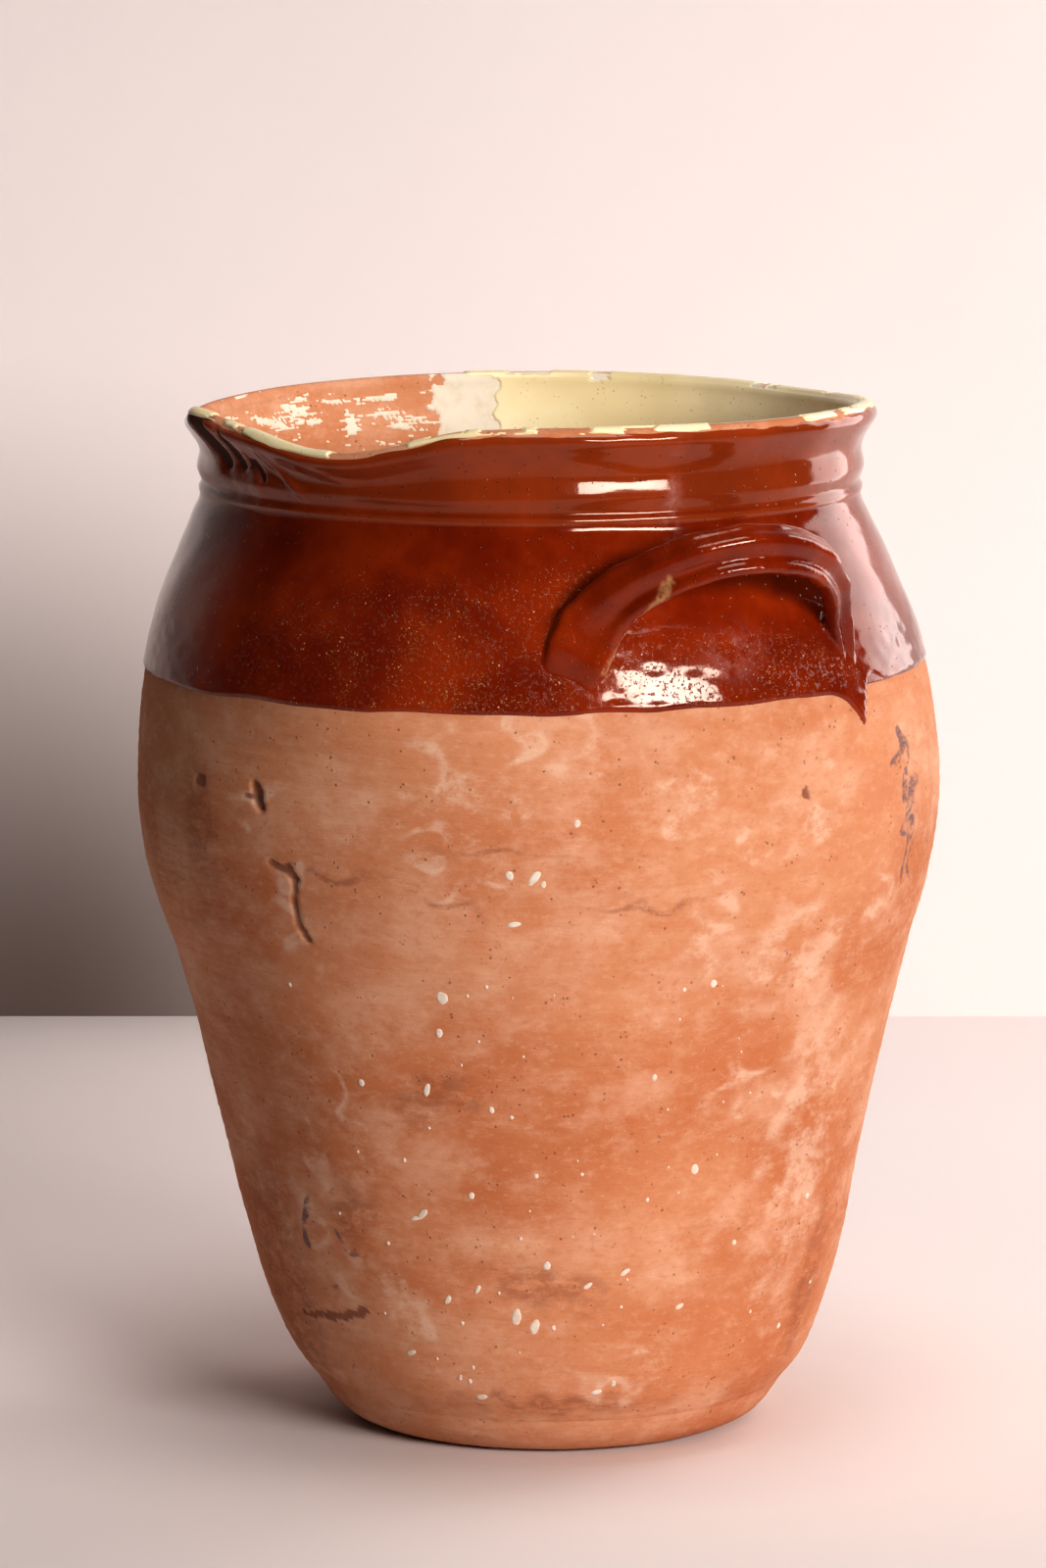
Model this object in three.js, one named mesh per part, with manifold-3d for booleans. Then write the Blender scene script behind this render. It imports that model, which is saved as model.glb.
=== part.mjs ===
// A large earthenware storage crock, half glazed, with a pinched pouring lip and two strap handles.
// Millimetres, +Z up. The origin is the centre of the foot's underside. The handles stand at +X
// and -X, and the lip points almost along -Y. Every clay section and every coat is its own solid.
import * as THREE from 'three';
import Module from 'manifold-3d';
import { mergeVertices } from 'three/addons/utils/BufferGeometryUtils.js';

const wasm = await Module();
wasm.setup();

// Heights, from the floor up
const FOOT_TOP = 16;
const SECTION_JOINT = 193;
const GLAZE_LINE = 298;
const GLAZE_EDGE = 296;
const LEDGE = 368;
const COAT_TOP = 396.5;
const RIM = 400;

// Thicknesses, and the clearance between touching solids
const WALL = 8;
const COLLAR_WALL = 6.5;
const GLAZE = 0.8;
const SLIP = 0.5;
const CLEARANCE = 0.3;
// The pinched collar's facets twist, so its coats stand a little further off.
const TWIST_CLEARANCE = 0.4;

// The plain round walls turn in equal steps, shared by every layer so that the gaps stay even.
const TURN_STEPS = 40;
const FULL_TURN = Math.PI * 2;
const UP = new THREE.Vector3(0, 0, 1);

// The outside of the crock: a small foot, a sharp heel, a full belly high up and a drawn-in neck.
const BODY_HEIGHTS = [0, 6, FOOT_TOP, 40, 80, 144, 200, 248, 296, 344, LEDGE];
const BODY_RADII = [69, 84.5, 91.8, 106, 117.9, 132.4, 147.5, 155.8, 152.7, 136.7, 127.5];
const bodyCurve = new THREE.CubicInterpolant(BODY_HEIGHTS, BODY_RADII, 1, new Float32Array(1));

// The collar: a shallow cove above the ledge that rolls out to a rounded rim.
const COLLAR_HEIGHTS = [LEDGE, 371, 384, 391, COAT_TOP, RIM];
const COLLAR_RADII = [126.6, 128.4, 129.8, 132.6, 134, 132.2];

// The pouring lip: the rim drawn out at one place, and pressed down beside it.
const LIP_ANGLE = THREE.MathUtils.degToRad(-96);
const LIP_REACH = 9;
const LIP_HALF_ANGLE = 0.15;
const SAG_ANGLE = THREE.MathUtils.degToRad(-64);
const SAG_HALF_ANGLE = 0.5;
const SAG_DEPTH = 8;

// One run of glaze hangs below the glaze line under the right handle's rear foot.
const DRIP_ANGLE = THREE.MathUtils.degToRad(24);
const DRIP_HALF_ANGLE = 0.11;
const DRIP_LENGTH = 12;

// The strap handle's centre line as radius, degrees from the handle's middle, and height
const STRAP_ROUTE = [
  [133, -24, 322],
  [150, -20, 333],
  [166, -14, 350],
  [174, -4.5, 358],
  [172, 5.5, 355],
  [161, 14.5, 344],
  [149, 20.5, 328],
  [134, 24, 313],
];
const STRAP_WIDTH = 20;
const STRAP_THICKNESS = 11;
const STRAP_STEPS = 16;
const PAD_WIDENING = 0.55;
const FOOT_NARROWING = 0.2;

// The flaked-off part of the inner coats: a sector behind the lip, down to a level in the neck
const FLAKE_FROM = THREE.MathUtils.degToRad(-195);
const FLAKE_TO = THREE.MathUtils.degToRad(-45);
const FLAKE_BOTTOM = 330;
const SLIP_BAND = THREE.MathUtils.degToRad(14);
const SLIP_BAND_DROP = 12;
const WEDGE_RADIUS = 200;
const WEDGE_HEIGHT = 100;

// Where the coats leave the wall's last level and take up the collar's first, above the ledge
const GLAZE_STEP = 1.5;
const INNER_STEP = 3;
const COAT_ABOVE_FLOOR = 6;

// How much wider and thicker than the strap its slot through the outer coat is
const STRAP_SLOT = 4 * CLEARANCE;

// The bottom of the plug that trims the strap's ends, well below the handles
const CUTTER_FLOOR = 270;

const CLAY = { color: 0xc98a5e, roughness: 0.85, metalness: 0 };
const GLAZED_CLAY = { color: 0x7c2610, roughness: 0.12, metalness: 0 };
const CREAM_GLAZE = { color: 0xe2cf9c, roughness: 0.3, metalness: 0 };
const WHITE_SLIP = { color: 0xf1ebdd, roughness: 0.8, metalness: 0 };

// Straight runs between the levels, so that layers that start or end anywhere stay parallel.
const LOWER_LEVELS = [FOOT_TOP, 40, 80, 136, SECTION_JOINT];
const UPPER_LEVELS = [SECTION_JOINT, 222, 252, GLAZE_LINE, 333, LEDGE];
const WALL_LEVELS = [...LOWER_LEVELS, ...UPPER_LEVELS.slice(1)];

function interpolate(height, heights, radii) {
  let above = heights.findIndex((level) => level >= height);
  above = Math.max(above < 0 ? heights.length - 1 : above, 1);
  const share = (height - heights[above - 1]) / (heights[above] - heights[above - 1]);
  return radii[above - 1] + share * (radii[above] - radii[above - 1]);
}

const wallRadii = WALL_LEVELS.map((height) => bodyCurve.evaluate(height)[0]);
const wallRadius = (height) => interpolate(height, WALL_LEVELS, wallRadii);
const collarRadius = (height) => interpolate(height, COLLAR_HEIGHTS, COLLAR_RADII);

// Points of an outline at the levels between two heights, ends included, at an offset from the wall
function run(levels, radiusAt, from, to, offset) {
  const inside = levels.filter((height) => height > from + 1 && height < to - 1);
  const heights = [from, ...inside, to];
  return heights.map((height) => new THREE.Vector2(radiusAt(height) + offset, height));
}

// A layer between two offsets from a surface, as a closed ring of outline points
function layer(outside, inside) {
  return [...outside, ...inside.reverse(), outside[0].clone()];
}

function turned(outline) {
  const geometry = new THREE.LatheGeometry(outline, TURN_STEPS);
  geometry.rotateX(Math.PI / 2);
  return geometry;
}

function angleBetween(angle, other) {
  return Math.abs(Math.atan2(Math.sin(angle - other), Math.cos(angle - other)));
}

// Draws the lip out and presses the rim down beside it; nothing below the ledge moves.
function pinched(geometry) {
  const places = geometry.attributes.position;
  for (let index = 0; index < places.count; index += 1) {
    const x = places.getX(index);
    const y = places.getY(index);
    const z = places.getZ(index);
    const angle = Math.atan2(y, x);
    const rise = THREE.MathUtils.smoothstep(z, LEDGE + 2, RIM);
    const fromLip = angleBetween(angle, LIP_ANGLE) / LIP_HALF_ANGLE;
    const pull = 1 + (LIP_REACH * rise) / (1 + fromLip * fromLip) / Math.hypot(x, y);
    const fromSag = Math.min(angleBetween(angle, SAG_ANGLE) / SAG_HALF_ANGLE, 1);
    const sag = SAG_DEPTH * rise * Math.cos((fromSag * Math.PI) / 2) ** 2;
    places.setXYZ(index, x * pull, y * pull, z - sag);
  }
  return geometry;
}

// The lower edge of the glaze, with its one long drip
function dripped(geometry) {
  const places = geometry.attributes.position;
  for (let index = 0; index < places.count; index += 1) {
    const x = places.getX(index);
    const y = places.getY(index);
    const z = places.getZ(index);
    const away = angleBetween(Math.atan2(y, x), DRIP_ANGLE) / DRIP_HALF_ANGLE;
    if (z < GLAZE_EDGE + 1 && away < 1) {
      const lower = z - DRIP_LENGTH * (1 - away);
      const scale = 1 + (wallRadius(lower) - wallRadius(z)) / Math.hypot(x, y);
      places.setXYZ(index, x * scale, y * scale, lower);
    }
  }
  return geometry;
}

function solid(geometry) {
  const bare = geometry.clone();
  bare.deleteAttribute('normal');
  bare.deleteAttribute('uv');
  const merged = mergeVertices(bare, 1e-3);
  const vertProperties = new Float32Array(merged.attributes.position.array);
  const triVerts = new Uint32Array(merged.index.array);
  return new wasm.Manifold(new wasm.Mesh({ numProp: 3, vertProperties, triVerts }));
}

function fromSolid(manifold) {
  const mesh = manifold.getMesh();
  const geometry = new THREE.BufferGeometry();
  geometry.setAttribute('position', new THREE.BufferAttribute(mesh.vertProperties, 3));
  geometry.setIndex(new THREE.BufferAttribute(mesh.triVerts, 1));
  geometry.computeVertexNormals();
  return geometry;
}

function piece(name, geometry, look) {
  const mesh = new THREE.Mesh(geometry, new THREE.MeshStandardMaterial(look));
  mesh.name = name;
  return mesh;
}

// The thrown disc that closes the bottom, flat underneath and rounded up to its seam
function baseDisc() {
  const top = FOOT_TOP - CLEARANCE;
  const outline = [
    new THREE.Vector2(0, 0),
    new THREE.Vector2(BODY_RADII[0], 0),
    new THREE.Vector2(79.5, 2.5),
    new THREE.Vector2(BODY_RADII[1], BODY_HEIGHTS[1]),
    new THREE.Vector2(wallRadius(FOOT_TOP) - 0.3, top),
    new THREE.Vector2(0, top),
  ];
  return turned(outline);
}

function wallSection(levels, from, to) {
  const outside = run(levels, wallRadius, from, to, 0);
  const inside = run(levels, wallRadius, from, to, -WALL);
  return turned(layer(outside, inside));
}

function neckCollar() {
  const from = LEDGE + CLEARANCE;
  const outside = run(COLLAR_HEIGHTS, collarRadius, from, RIM, 0);
  const inside = run(COLLAR_HEIGHTS, collarRadius, from, RIM, -COLLAR_WALL);
  return pinched(turned(layer(outside, inside)));
}

// The strap: a straight extrusion with an oval section, bent along its route. The front end widens
// to the thumb pad and the rear foot narrows; growth makes the whole strap wider and thicker.
function strap(growth) {
  const route = STRAP_ROUTE.map(([radius, degrees, height]) => {
    const angle = THREE.MathUtils.degToRad(degrees);
    return new THREE.Vector3(radius * Math.cos(angle), radius * Math.sin(angle), height);
  });
  const curve = new THREE.CatmullRomCurve3(route);
  const section = new THREE.Shape();
  section.absellipse(0, 0, 0.5, 0.5, 0, FULL_TURN, false, 0);
  const settings = { depth: 1, steps: STRAP_STEPS, curveSegments: 6, bevelEnabled: false };
  const geometry = new THREE.ExtrudeGeometry(section, settings);
  const places = geometry.attributes.position;
  for (let index = 0; index < places.count; index += 1) {
    const along = THREE.MathUtils.clamp(places.getZ(index), 0, 1);
    const tangent = curve.getTangentAt(along);
    const across = UP.clone().addScaledVector(tangent, -UP.dot(tangent)).normalize();
    const out = new THREE.Vector3().crossVectors(tangent, across);
    const pad = 1 - THREE.MathUtils.smoothstep(along, 0.06, 0.3);
    const foot = THREE.MathUtils.smoothstep(along, 0.7, 0.95);
    const width = STRAP_WIDTH * (1 + PAD_WIDENING * pad - FOOT_NARROWING * foot) + growth;
    const thickness = STRAP_THICKNESS + growth;
    const place = curve.getPointAt(along);
    place.addScaledVector(across, places.getX(index) * width);
    place.addScaledVector(out, places.getY(index) * thickness);
    places.setXYZ(index, place.x, place.y, place.z);
  }
  return geometry;
}

// Everything inside the clay's outer surface, with the clearance added: it trims the strap's ends.
function wallCutter() {
  const side = run(WALL_LEVELS, wallRadius, CUTTER_FLOOR, LEDGE, CLEARANCE);
  const centre = [CUTTER_FLOOR, LEDGE].map((height) => new THREE.Vector2(0, height));
  return solid(turned([centre[0], ...side, centre[1]]));
}

function handle(cutter, turn) {
  const bent = solid(strap(0).rotateZ(turn));
  const parts = bent.subtract(cutter).decompose();
  const largest = parts.reduce((best, part) => (part.volume() > best.volume() ? part : best));
  return fromSolid(largest);
}

// The red-brown coat: from the glaze line over the ledge and up the collar to the rim's edge
function outerGlaze(turns) {
  const near = CLEARANCE;
  const far = CLEARANCE + GLAZE;
  const shoulderOut = run(WALL_LEVELS, wallRadius, GLAZE_EDGE, LEDGE, far);
  const collarOut = run(COLLAR_HEIGHTS, collarRadius, LEDGE + GLAZE_STEP, COAT_TOP, far + TWIST_CLEARANCE);
  const shoulderIn = run(WALL_LEVELS, wallRadius, GLAZE_EDGE, LEDGE, near);
  const collarIn = run(COLLAR_HEIGHTS, collarRadius, LEDGE + GLAZE_STEP, COAT_TOP, near + TWIST_CLEARANCE);
  const outline = layer([...shoulderOut, ...collarOut], [...shoulderIn, ...collarIn]);
  let coat = solid(dripped(pinched(turned(outline))));
  for (const turn of turns) {
    coat = coat.subtract(solid(strap(STRAP_SLOT).rotateZ(turn)));
  }
  return fromSolid(coat);
}

// The sector where an inner coat has flaked away, as a wedge that is cut out of it
function flakeWedge(from, to, bottom) {
  const shape = new THREE.Shape();
  shape.moveTo(0, 0);
  shape.absarc(0, 0, WEDGE_RADIUS, from, to, false);
  shape.closePath();
  const settings = { depth: WEDGE_HEIGHT, steps: 1, curveSegments: 6, bevelEnabled: false };
  return solid(new THREE.ExtrudeGeometry(shape, settings).translate(0, 0, bottom));
}

// A coat on the inner wall from just above the floor to just below the rim
function innerCoat(depth, thickness, twists, wedge) {
  const near = -WALL - depth;
  const floor = FOOT_TOP + COAT_ABOVE_FLOOR;
  const wallOut = run(WALL_LEVELS, wallRadius, floor, LEDGE, near);
  const wallIn = run(WALL_LEVELS, wallRadius, floor, LEDGE, near - thickness);
  const collarNear = -COLLAR_WALL - depth - TWIST_CLEARANCE * twists;
  const collarOut = run(COLLAR_HEIGHTS, collarRadius, LEDGE + INNER_STEP, COAT_TOP, collarNear);
  const collarIn = run(COLLAR_HEIGHTS, collarRadius, LEDGE + INNER_STEP, COAT_TOP, collarNear - thickness);
  const outline = layer([...wallOut, ...collarOut], [...wallIn, ...collarIn]);
  return fromSolid(solid(pinched(turned(outline))).subtract(wedge));
}

const crock = new THREE.Group();
const sides = [0, Math.PI];
const cutter = wallCutter();
const slipWedge = flakeWedge(FLAKE_FROM, FLAKE_TO, FLAKE_BOTTOM);
const bareFrom = FLAKE_FROM - SLIP_BAND;
const bareTo = FLAKE_TO + SLIP_BAND;
const glazeWedge = flakeWedge(bareFrom, bareTo, FLAKE_BOTTOM - SLIP_BAND_DROP);
const belowJoint = SECTION_JOINT - CLEARANCE;
const belowLedge = LEDGE - CLEARANCE;
crock.add(piece('base_disc', baseDisc(), CLAY));
crock.add(piece('lower_wall', wallSection(LOWER_LEVELS, FOOT_TOP, belowJoint), CLAY));
crock.add(piece('upper_wall', wallSection(UPPER_LEVELS, SECTION_JOINT, belowLedge), CLAY));
crock.add(piece('neck_collar', neckCollar(), CLAY));
crock.add(piece('handle_right', handle(cutter, sides[0]), GLAZED_CLAY));
crock.add(piece('handle_left', handle(cutter, sides[1]), GLAZED_CLAY));
crock.add(piece('outer_glaze', outerGlaze(sides), GLAZED_CLAY));
crock.add(piece('inner_slip', innerCoat(CLEARANCE, SLIP, 1, slipWedge), WHITE_SLIP));
const glazeDepth = SLIP + 2 * CLEARANCE;
crock.add(piece('inner_glaze', innerCoat(glazeDepth, GLAZE, 2, glazeWedge), CREAM_GLAZE));

export default crock;
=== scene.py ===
# %% [markdown]
# # A half-glazed storage crock
# This lesson rebuilds an old earthenware crock the way a potter makes it: a foot disc, two thrown
# wall sections, a collar pinched into a pouring lip, pulled strap handles, and coats of slip and
# glaze that have flaked with age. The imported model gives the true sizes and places, and every
# surface here is worked out from it, so the fine pieces lie exactly where the plain ones are.

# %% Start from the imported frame
import math

import bmesh
import bpy
import numpy as np
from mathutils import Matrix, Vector


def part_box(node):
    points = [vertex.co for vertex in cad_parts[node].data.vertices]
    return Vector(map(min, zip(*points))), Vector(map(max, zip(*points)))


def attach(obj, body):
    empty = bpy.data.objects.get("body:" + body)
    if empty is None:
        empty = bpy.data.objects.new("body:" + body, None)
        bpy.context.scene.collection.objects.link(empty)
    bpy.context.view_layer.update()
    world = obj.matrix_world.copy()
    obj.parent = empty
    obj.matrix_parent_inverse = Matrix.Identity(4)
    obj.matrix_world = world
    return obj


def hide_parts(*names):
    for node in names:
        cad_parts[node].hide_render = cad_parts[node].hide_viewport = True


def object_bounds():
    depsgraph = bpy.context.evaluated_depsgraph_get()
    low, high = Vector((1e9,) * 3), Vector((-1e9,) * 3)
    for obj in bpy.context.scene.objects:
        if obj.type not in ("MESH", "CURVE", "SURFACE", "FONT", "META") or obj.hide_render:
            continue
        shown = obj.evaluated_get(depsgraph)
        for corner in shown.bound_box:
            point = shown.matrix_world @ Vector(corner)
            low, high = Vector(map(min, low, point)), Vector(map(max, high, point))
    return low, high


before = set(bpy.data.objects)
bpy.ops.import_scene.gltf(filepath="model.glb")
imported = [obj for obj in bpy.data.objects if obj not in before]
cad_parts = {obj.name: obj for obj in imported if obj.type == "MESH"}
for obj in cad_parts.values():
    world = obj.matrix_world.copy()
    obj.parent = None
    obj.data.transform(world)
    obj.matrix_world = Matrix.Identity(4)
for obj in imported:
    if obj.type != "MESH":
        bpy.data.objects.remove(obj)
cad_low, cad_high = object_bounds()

MM = 0.001
print("the packed pot is", [round(high - low, 4) for low, high in zip(cad_low, cad_high)], "m")

# %% [markdown]
# ## Heights that everything shares
# A thrown pot is ordered by height: seams, joints and glaze lines are all level rings. They are
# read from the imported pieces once, in millimetres, so no later step needs to repeat a number.

# %% Read the ring heights
seam_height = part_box("base_disc")[1][2] / MM
joint_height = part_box("upper_wall")[0][2] / MM
ledge_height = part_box("neck_collar")[0][2] / MM
rim_height = cad_high[2] / MM
belly_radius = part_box("upper_wall")[1][0] / MM
GLAZE_LINE = 300.0
print("seam", round(seam_height, 1), "joint", round(joint_height, 1), "ledge", round(ledge_height, 1))

# %% [markdown]
# ## The section through the wall
# A potter's template is one outline: up the outside from the foot, over the rim, and down the
# inside to the floor. The outline could be drawn as many small lines, but a smooth curve through a
# few well-chosen points is easier to read and never shows corners.

# %% Draw the outline once
OUTSIDE = [
    (69, 0), (79.5, 2.2), (84.8, 6), (92, 16), (101.2, 28), (107, 41), (112.2, 57), (118, 80),
    (124.6, 112), (132.4, 144), (140.4, 176), (147.2, 200), (152.6, 224), (155.8, 249),
    (155.2, 272), (152.5, 296), (146.6, 320), (136.9, 344), (130.8, 358), (127.8, 366),
]
LEDGE_BEAD = [(127.9, 367.4), (128.5, 368.4), (127.9, 369.5), (127.3, 371)]
COLLAR_OUTSIDE = [
    (128.3, 374.5), (129.0, 376.8), (128.8, 378.6), (128.1, 383.2), (129.3, 387.4), (132.2, 392),
    (134.2, 395.4),
]
RIM_TOP = [(133.6, 398), (132.2, 399.6), (130.6, 400), (128.8, 399.4), (127.6, 397.6)]
INSIDE = [
    (127.0, 394.5), (125.2, 388), (123.0, 380), (121.3, 371), (121.0, 362), (125.6, 350),
    (129.6, 342), (138.6, 320), (144.5, 296), (147.2, 272), (147.8, 249), (144.6, 224),
    (139.2, 200), (132.4, 176), (124.4, 144), (116.6, 112), (110, 80), (103.8, 57), (96, 38),
    (84, 25), (66, 19.5), (40, 18), (14, 17.6), (1.5, 17.5),
]
PATH_STEP = 0.5


def through(positions, values, wanted):
    """Reads a smooth curve through a few known values."""
    slopes = np.gradient(values, positions)
    first = np.clip(np.searchsorted(positions, wanted, side="right") - 1, 0, len(positions) - 2)
    step = positions[first + 1] - positions[first]
    share = np.clip((wanted - positions[first]) / step, 0, 1)
    rest = 1 - share
    start = values[first] * (1 + 2 * share) * rest**2 + slopes[first] * step * share * rest**2
    end = values[first + 1] * share**2 * (3 - 2 * share)
    return start + end - slopes[first + 1] * step * share**2 * rest


outline = np.array(OUTSIDE + LEDGE_BEAD + COLLAR_OUTSIDE + RIM_TOP + INSIDE, float)
hops = np.hypot(*np.diff(outline, axis=0).T)
marks_along = np.concatenate([[0], np.cumsum(hops)])
path_length = marks_along[-1]
path = np.arange(0, path_length, PATH_STEP)
path_radius = through(marks_along, outline[:, 0], path)
path_height = through(marks_along, outline[:, 1], path)
turn_radius = np.gradient(path_radius, path)
turn_height = np.gradient(path_height, path)
turn_size = np.hypot(turn_radius, turn_height)
normal_radius = turn_height / turn_size
normal_height = -turn_radius / turn_size
rim_place = path[np.argmax(path_height)]
print("the outline is", round(path_length), "mm long; the rim is at", round(rim_place), "mm")

# %% Find places along the outline
outer_part = path <= rim_place
inner_part = path >= rim_place
floor_place = path[np.argmax((path_radius < 80) & inner_part)]


def outside_at(height):
    """The place along the outline where the outer wall reaches a height."""
    return np.interp(height, path_height[outer_part], path[outer_part])


def inside_at(height):
    """The place along the outline where the inner wall is down at a height."""
    wall = inner_part & (path <= floor_place)
    return np.interp(-height, -path_height[wall], path[wall])


print("the wall meets the floor at", round(floor_place), "mm along")

# %% [markdown]
# ## Random but repeatable unevenness
# Hand-made things are never even. A stored random table would do, but a sum of a few waves with
# seeded directions is smooth at every scale, closes on itself round the pot, and gives the same
# pot every time that the script runs.

# %% A wavy field round the pot
WAVES = 26
WAVE_RADIUS = 140
SPOT_RADIUS = 145


def waves(seed, angle, height, size, stretch=1.0):
    """Smooth random values round the pot; size is the lump size in mm, stretch makes them wide."""
    dice = np.random.default_rng(seed)
    total = np.zeros(np.broadcast(angle, height).shape)
    for _ in range(WAVES):
        speed = 2 * math.pi / size * dice.uniform(0.55, 1.5)
        lean = dice.uniform(0, 2 * math.pi)
        round_count = np.round(speed * math.cos(lean) / stretch * WAVE_RADIUS)
        climb = speed * math.sin(lean)
        total += np.cos(round_count * angle + climb * height + dice.uniform(0, 2 * math.pi))
    return total * math.sqrt(2 / WAVES)


def ramp(value, low, high):
    """A smooth step from 0 at low to 1 at high."""
    share = np.clip((value - low) / (high - low), 0, 1)
    return share * share * (3 - 2 * share)


def around(angle, centre):
    """The signed angle from a centre, in radians."""
    return np.arctan2(np.sin(angle - centre), np.cos(angle - centre))


def blot(angle, height, at, size, tilt=0.0):
    """A soft spot: 1 at its middle, fading outward. at is degrees and mm, size is half sizes in mm."""
    across = around(angle, math.radians(at[0])) * SPOT_RADIUS
    up = height - at[1]
    turn = math.radians(tilt)
    along = across * math.cos(turn) + up * math.sin(turn)
    aside = up * math.cos(turn) - across * math.sin(turn)
    return np.exp(-((along / size[0]) ** 2) - (aside / size[1]) ** 2)


print("a sample of the field:", np.round(waves(1, np.array([0.0, 1.0]), 100.0, 40), 2))

# %% [markdown]
# ## The pouring lip and the lean
# The lip was pulled out with one finger between two others while the clay was wet, and the rim
# sank beside it. A few angles round the rim say how far it was pulled out there and how far it
# rose or sank. The whole pot also leans a little. Both are bends of the finished form, so they
# are applied last, as one function that every clay surface and every coat goes through.

# %% Bend the form
RIM_SHAPE = [
    (-180, 0, -1.0), (-160, 0, -2.0), (-140, 0, -3.2), (-124, -0.8, -3.2), (-113, -0.8, -1.5),
    (-106, 1.2, 0.6), (-100, 4.8, 2.6), (-96, 8.0, 3.6), (-92, 5.6, 2.4), (-87, 2.6, -0.4),
    (-80, 1.8, -2.6), (-74, 1.8, -5.2), (-68, 2.0, -7.2), (-61, 2.0, -7.4), (-55, 1.6, -5.4),
    (-49, 1.0, -2.0), (-42, 0.4, 1.8), (-34, 0, 3.0), (-10, 0, 3.3), (20, 0, 3.2), (45, 0, 2.4),
    (66, 0, 0.4), (90, 0, -1.6), (120, 0, -0.8), (150, 0, -0.5),
]
LEAN = 0.021
LEAN_PIVOT = 280
VIEW_ANGLE = math.radians(-30)
view_right = np.array([-math.sin(VIEW_ANGLE), math.cos(VIEW_ANGLE)])
rim_degrees, rim_pull, rim_lift = np.array(RIM_SHAPE + [(180, 0, -1.0), (200, 0, -2.0)], float).T


def bend(radius, angle, height):
    """Pinches the lip, lets the rim sag beside it and leans the pot; gives x, y and z in metres."""
    rise = ramp(height, ledge_height + 1, rim_height)
    degrees = np.degrees(around(angle, 0.0))
    radius = radius + through(rim_degrees, rim_pull, degrees) * rise
    height = height + through(rim_degrees, rim_lift, degrees) * rise
    shift = LEAN * (LEAN_PIVOT - height)
    x = radius * np.cos(angle) + shift * view_right[0]
    y = radius * np.sin(angle) + shift * view_right[1]
    return np.stack([x, y, height], axis=-1) * MM


print("the lip reaches", max(rim_pull), "mm beyond the rim")

# %% [markdown]
# ## The surface of the clay
# Every piece asks one function where the clay is. It starts from the outline and adds what hands
# and wheel leave behind: slow unevenness, fine throwing lines, the luted joint, dents, folds
# beside the lip and scars. Each mark is a small row of numbers: where it is in degrees and mm,
# its size, its tilt and its depth. Because coats ask the same function and only add their
# thickness, nothing has to be fitted.

# %% Where the clay is
DENTS = [
    ((150, 150), (9, 3), 20, 1.0),
    ((-160, 90), (3, 3), 0, 1.4),
    ((95, 220), (14, 2.2), 5, 0.8),
    ((10.5, 264), (2.2, 2.6), 0, 1.6),
]
FOLDS = [
    ((-84, 384), (5, 14), 12, 0.7), ((-76, 384), (14, 2.2), -38, 1.3),
    ((-52, 377), (34, 1.8), -3, 0.9), ((-92, 384), (4, 12), 8, -0.4),
    ((-66, 389), (20, 2.6), -22, 0.7),
]
SCARS = [
    ([(-70.4, 237.6), (-67.8, 236.8), (-66.6, 233)], 1.9, 0.9),
    ([(-66.6, 233), (-67.2, 224), (-67.0, 215), (-65.6, 208.6)], 1.3, 0.8),
    ([(-72.9, 266), (-72.2, 259)], 2.1, 1.5), ([(-74.6, 262), (-73, 263)], 1.2, 0.5),
    ([(-85.6, 265), (-84.2, 265.4)], 1.7, 0.3), ([(10.4, 265), (10.6, 263)], 1.5, 0.5),
    ([(-90, 50), (-82, 52), (-74, 54.6), (-68, 59)], 1.6, 0.25),
    ([(148, 146), (153, 152)], 1.5, 0.6), ([(-162, 92), (-160, 88)], 2.0, 0.6),
]
SCAR_RADIUS = 148


def scar(angle, height, line, half_width):
    """1 on a scratch drawn through points given as degrees and mm, fading over its half width."""
    nearest = np.full(np.broadcast(angle, height).shape, 99.0)
    height = height + 0.5 * waves(71, angle, height, 7)
    for (from_turn, from_up), (to_turn, to_up) in zip(line[:-1], line[1:]):
        across = around(angle, math.radians(from_turn)) * SCAR_RADIUS
        up = height - from_up
        run = math.radians(to_turn - from_turn) * SCAR_RADIUS
        climb = to_up - from_up
        share = np.clip((across * run + up * climb) / (run**2 + climb**2), 0, 1)
        nearest = np.minimum(nearest, np.hypot(across - share * run, up - share * climb))
    return 1 - ramp(nearest, half_width * 0.7, half_width * 1.35)


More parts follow.
